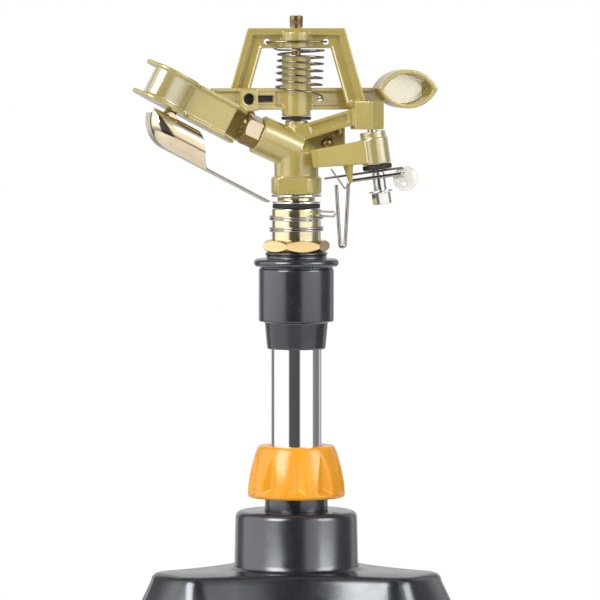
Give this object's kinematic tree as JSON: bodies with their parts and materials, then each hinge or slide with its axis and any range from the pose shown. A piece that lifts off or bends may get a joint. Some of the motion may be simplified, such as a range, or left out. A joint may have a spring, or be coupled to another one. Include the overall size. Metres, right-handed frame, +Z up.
{
  "type": "tripod impulse sprinkler",
  "caption": "Impulse sprinkler on a telescopic chrome pole and folding tripod: olive cast head with sprung arm, part-circle trip gear, black hub and orange lock nut.",
  "frame": {"origin": "bottom centre of the whole object's box at rest, legs spread, on the ground", "axes": "+Z up, +Y away from the reader in the picture, +X to the right; the pole axis is at x = 0 and y = -0.0627, and the spoon points towards -X"},
  "size_m": [0.468, 0.41, 0.6212],
  "materials": {
    "olive_paint": "glossy olive gold paint over a fine cast surface",
    "brass": "turned and bright",
    "steel": "bright zinc",
    "plated_sheet": "bright yellow plated sheet",
    "chrome": "mirror",
    "black_plastic": "satin moulded",
    "orange_plastic": "semi gloss moulded",
    "rubber": "matt"
  },
  "bodies": {
    "stand": {"hub_shell": "black_plastic", "collet_sleeve": "black_plastic", "outer_column": "black_plastic", "inlet_elbow": "black_plastic", "hose_connector": "brass", "inlet_washer": "rubber", "leg_pivot_pin_1": "steel", "leg_pivot_pin_2": "steel", "leg_pivot_pin_3": "steel"},
    "pole_nut": {"pole_lock_nut": "orange_plastic"},
    "riser": {"inner_pole": "chrome", "pole_seal": "rubber", "riser_coupling": "black_plastic", "coupling_seal": "rubber", "brass_nipple": "brass"},
    "collar_upper": {"trip_collar_upper": "steel"},
    "collar_lower": {"trip_collar_lower": "steel"},
    "head": {"bearing_tube": "brass", "bearing_seal": "rubber", "dust_ring": "rubber", "lower_washer": "steel", "spacer_ring": "brass", "upper_washer": "steel", "sprinkler_body": "olive_paint", "nozzle": "brass", "fulcrum_pin": "brass", "arm_washer": "rubber", "arm_spring": "steel", "trip_bolt": "steel", "trip_rubber_washer": "rubber", "spacer_tube": "steel", "bolt_washer": "steel", "side_screw": "brass", "dome_rivet": "steel"},
    "arm": {"impact_arm": "olive_paint", "deflector_pin": "steel"},
    "deflector": {"deflector_flap": "plated_sheet"},
    "trip_plate_set": {"trip_plate": "plated_sheet"},
    "trip_lever_set": {"trip_lever": "olive_paint", "toggle_spring": "steel"},
    "trip_wire_set": {"trip_wire": "steel"},
    "leg_1": {"leg_knuckle_1": "black_plastic", "leg_outer_tube_1": "chrome"},
    "leg_nut_1": {"leg_lock_nut_1": "orange_plastic"},
    "leg_extension_1": {"leg_inner_tube_1": "chrome", "leg_foot_1": "rubber"},
    "leg_2": {"leg_knuckle_2": "black_plastic", "leg_outer_tube_2": "chrome"},
    "leg_nut_2": {"leg_lock_nut_2": "orange_plastic"},
    "leg_extension_2": {"leg_inner_tube_2": "chrome", "leg_foot_2": "rubber"},
    "leg_3": {"leg_knuckle_3": "black_plastic", "leg_outer_tube_3": "chrome"},
    "leg_nut_3": {"leg_lock_nut_3": "orange_plastic"},
    "leg_extension_3": {"leg_inner_tube_3": "chrome", "leg_foot_3": "rubber"}
  },
  "joints": [
    {"name": "pole_nut_turn", "type": "hinge", "parent": "stand", "child": "pole_nut", "pos_m": [0, -0.0627, 0.39], "axis": [0, 0, 1], "range_deg": [0, 180]},
    {"name": "riser_slide", "type": "slide", "parent": "stand", "child": "riser", "axis": [0, 0, 1], "range_m": [-0.045, 0.12]},
    {"name": "upper_collar_turn", "type": "hinge", "parent": "riser", "child": "collar_upper", "pos_m": [0, -0.0627, 0.521], "axis": [0, 0, 1], "range_deg": [-150, 0]},
    {"name": "lower_collar_turn", "type": "hinge", "parent": "riser", "child": "collar_lower", "pos_m": [0, -0.0627, 0.5142], "axis": [0, 0, 1], "range_deg": [0, 150]},
    {"name": "head_spin", "type": "hinge", "parent": "riser", "child": "head", "pos_m": [0, -0.0627, 0.5323], "axis": [0, 0, 1], "range_deg": [-22, 105]},
    {"name": "arm_swing", "type": "hinge", "parent": "head", "child": "arm", "pos_m": [0, -0.0627, 0.5801], "axis": [0, 0, 1], "range_deg": [0, 95], "stiffness_Nm_per_rad": 0.05, "springref_deg": -11.46, "deforming": ["arm_spring"]},
    {"name": "deflector_tilt", "type": "hinge", "parent": "arm", "child": "deflector", "pos_m": [-0.06296, -0.08075, 0.5713], "axis": [-0.2756, 0.9613, 0], "range_deg": [0, 4]},
    {"name": "trip_plate_swing", "type": "hinge", "parent": "head", "child": "trip_plate_set", "pos_m": [0.0422, -0.0649, 0.5329], "axis": [-0.1392, 0, 0.9903], "range_deg": [0, 16]},
    {"name": "trip_lever_swing", "type": "hinge", "parent": "head", "child": "trip_lever_set", "pos_m": [0.0422, -0.0649, 0.5329], "axis": [-0.1392, 0, 0.9903], "range_deg": [0, 15], "deforming": ["toggle_spring"]},
    {"name": "trip_wire_flip", "type": "hinge", "parent": "trip_plate_set", "child": "trip_wire_set", "pos_m": [0.05315, -0.0693, 0.54262], "axis": [0, -1, 0], "range_deg": [0, 18]},
    {"name": "leg_1_fold", "type": "hinge", "parent": "stand", "child": "leg_1", "pos_m": [0, -0.0007, 0.327], "axis": [-1, 0, 0], "range_deg": [0, 28]},
    {"name": "leg_1_nut_turn", "type": "hinge", "parent": "leg_1", "child": "leg_nut_1", "pos_m": [0, -0.0007, 0.327], "axis": [0, 0.5, -0.866], "range_deg": [0, 180]},
    {"name": "leg_1_slide", "type": "slide", "parent": "leg_1", "child": "leg_extension_1", "axis": [0, 0.5, -0.866], "range_m": [0, 0.13]},
    {"name": "leg_2_fold", "type": "hinge", "parent": "stand", "child": "leg_2", "pos_m": [-0.05369, -0.0937, 0.327], "axis": [0.5, -0.866, 0], "range_deg": [0, 28]},
    {"name": "leg_2_nut_turn", "type": "hinge", "parent": "leg_2", "child": "leg_nut_2", "pos_m": [-0.05369, -0.0937, 0.327], "axis": [-0.433, -0.25, -0.866], "range_deg": [0, 180]},
    {"name": "leg_2_slide", "type": "slide", "parent": "leg_2", "child": "leg_extension_2", "axis": [-0.433, -0.25, -0.866], "range_m": [0, 0.13]},
    {"name": "leg_3_fold", "type": "hinge", "parent": "stand", "child": "leg_3", "pos_m": [0.05369, -0.0937, 0.327], "axis": [0.5, 0.866, 0], "range_deg": [0, 28]},
    {"name": "leg_3_nut_turn", "type": "hinge", "parent": "leg_3", "child": "leg_nut_3", "pos_m": [0.05369, -0.0937, 0.327], "axis": [0.433, -0.25, -0.866], "range_deg": [0, 180]},
    {"name": "leg_3_slide", "type": "slide", "parent": "leg_3", "child": "leg_extension_3", "axis": [0.433, -0.25, -0.866], "range_m": [0, 0.13]}
  ],
  "couplings": [
    {"joint": "trip_lever_swing", "follows": "trip_plate_swing", "ratio": 0.9375}
  ]
}
